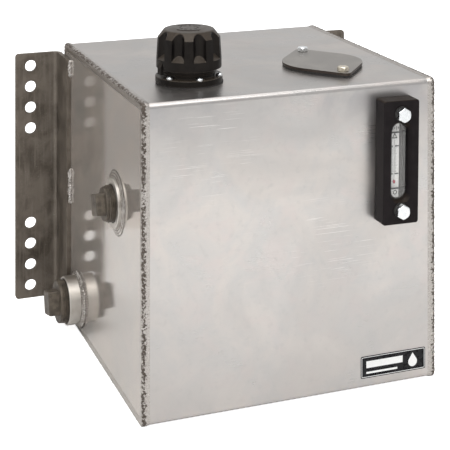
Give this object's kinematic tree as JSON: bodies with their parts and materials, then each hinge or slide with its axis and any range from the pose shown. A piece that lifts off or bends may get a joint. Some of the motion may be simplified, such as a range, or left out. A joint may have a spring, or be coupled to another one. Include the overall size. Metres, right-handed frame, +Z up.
{
  "type": "hydraulic reservoir",
  "caption": "Square welded steel side-mount hydraulic oil tank with filler-breather cap, clean-out cover, level gauge, plugged pipe ports and drilled mounting angles.",
  "frame": {"origin": "centre of the tank's flat underside", "axes": "+Z up, +X to the right seen from the gauge side, +Y towards the back, where the mounting angles' faces are"},
  "size_m": [0.552, 0.469, 0.4755],
  "materials": {
    "tank_sheet": "bare cold-rolled sheet, satin, faint rolling lines and scratches",
    "weld_metal": "rippled weld metal with dark scale in the toes",
    "machined_steel": "turned, bright",
    "cast_plug": "as-cast, brown-black, dry",
    "thread_sealant": "dried dark thread sealant",
    "rubber": "matte black",
    "cap_plastic": "moulded black nylon, satin",
    "gauge_plastic": "moulded black nylon, fine grain",
    "zinc_plate": "bright zinc plate",
    "cream_zinc": "pale yellow zinc plate",
    "cover_steel": "phosphated sheet, satin",
    "pressed_steel": "plated pressing",
    "foam": "open-cell filter foam",
    "scale_face": "printed white scale",
    "clear_lens": "clear moulded plastic",
    "bulb_fill": "dyed thermometer fluid",
    "mill_steel": "hot-rolled plate with dark mill scale",
    "label_film": "black vinyl film"
  },
  "bodies": {
    "tank": {"baffle_plate": "tank_sheet", "bracket_left": "mill_steel", "bracket_right": "mill_steel", "bracket_weld_left_lower": "weld_metal", "bracket_weld_left_middle": "weld_metal", "bracket_weld_left_upper": "weld_metal", "bracket_weld_right_lower": "weld_metal", "bracket_weld_right_middle": "weld_metal", "bracket_weld_right_upper": "weld_metal", "cover_bolt_front": "cream_zinc", "cover_bolt_rear": "zinc_plate", "cover_gasket": "rubber", "cover_nut_front": "zinc_plate", "cover_nut_rear": "zinc_plate", "cover_plate": "cover_steel", "end_plate_left": "tank_sheet", "end_plate_right": "tank_sheet", "filler_flange": "cap_plastic", "filler_gasket": "rubber", "flange_screw_1": "zinc_plate", "flange_screw_2": "zinc_plate", "flange_screw_3": "zinc_plate", "flange_screw_4": "zinc_plate", "flange_screw_5": "zinc_plate", "flange_screw_6": "zinc_plate", "gauge_bolt_bottom": "zinc_plate", "gauge_bolt_top": "zinc_plate", "gauge_housing": "gauge_plastic", "gauge_lens": "clear_lens", "gauge_nut_bottom": "zinc_plate", "gauge_nut_top": "zinc_plate", "gauge_scale": "scale_face", "gauge_seal_bottom": "rubber", "gauge_seal_top": "rubber", "gauge_washer_bottom": "rubber", "gauge_washer_top": "rubber", "label": "label_film", "lower_coupling_weld": "weld_metal", "lower_port_coupling": "machined_steel", "rear_seam_weld": "weld_metal", "strainer_basket": "pressed_steel", "tank_wrap": "tank_sheet", "thermometer_bulb": "bulb_fill", "thermometer_tube": "clear_lens", "upper_bung_weld": "weld_metal", "upper_port_bung": "machined_steel", "weld_bead_left_end": "weld_metal", "weld_bead_right_end": "weld_metal"},
    "cap_carrier": {"cap_seal": "rubber"},
    "cap": {"filler_cap": "cap_plastic", "bayonet_plate": "pressed_steel", "breather_element": "foam"},
    "upper_plug_carrier": {"upper_thread_sealant": "thread_sealant"},
    "upper_plug": {"upper_plug": "cast_plug"},
    "lower_plug_carrier": {"lower_thread_sealant": "thread_sealant"},
    "lower_plug": {"lower_plug": "cast_plug"}
  },
  "joints": [
    {"name": "cap_lift", "type": "slide", "parent": "tank", "child": "cap_carrier", "axis": [0, 0, 1], "range_m": [0, 0.12]},
    {"name": "cap_turn", "type": "hinge", "parent": "cap_carrier", "child": "cap", "pos_m": [-0.1091, -0.101, 0.44], "axis": [0, 0, 1], "range_deg": [0, 90]},
    {"name": "upper_plug_travel", "type": "slide", "parent": "tank", "child": "upper_plug_carrier", "axis": [-1, 0, 0], "range_m": [0, 0.018]},
    {"name": "upper_plug_turn", "type": "hinge", "parent": "upper_plug_carrier", "child": "upper_plug", "pos_m": [-0.212, -0.0825, 0.2454], "axis": [-1, 0, 0], "range_deg": [0, 2880]},
    {"name": "lower_plug_travel", "type": "slide", "parent": "tank", "child": "lower_plug_carrier", "axis": [-1, 0, 0], "range_m": [0, 0.0202]},
    {"name": "lower_plug_turn", "type": "hinge", "parent": "lower_plug_carrier", "child": "lower_plug", "pos_m": [-0.2277, 0.115, 0.0454], "axis": [-1, 0, 0], "range_deg": [0, 3240]}
  ],
  "couplings": [
    {"joint": "upper_plug_travel", "follows": "upper_plug_turn", "m_per_rad": 0.00035153},
    {"joint": "lower_plug_travel", "follows": "lower_plug_turn", "m_per_rad": 0.00035153}
  ]
}
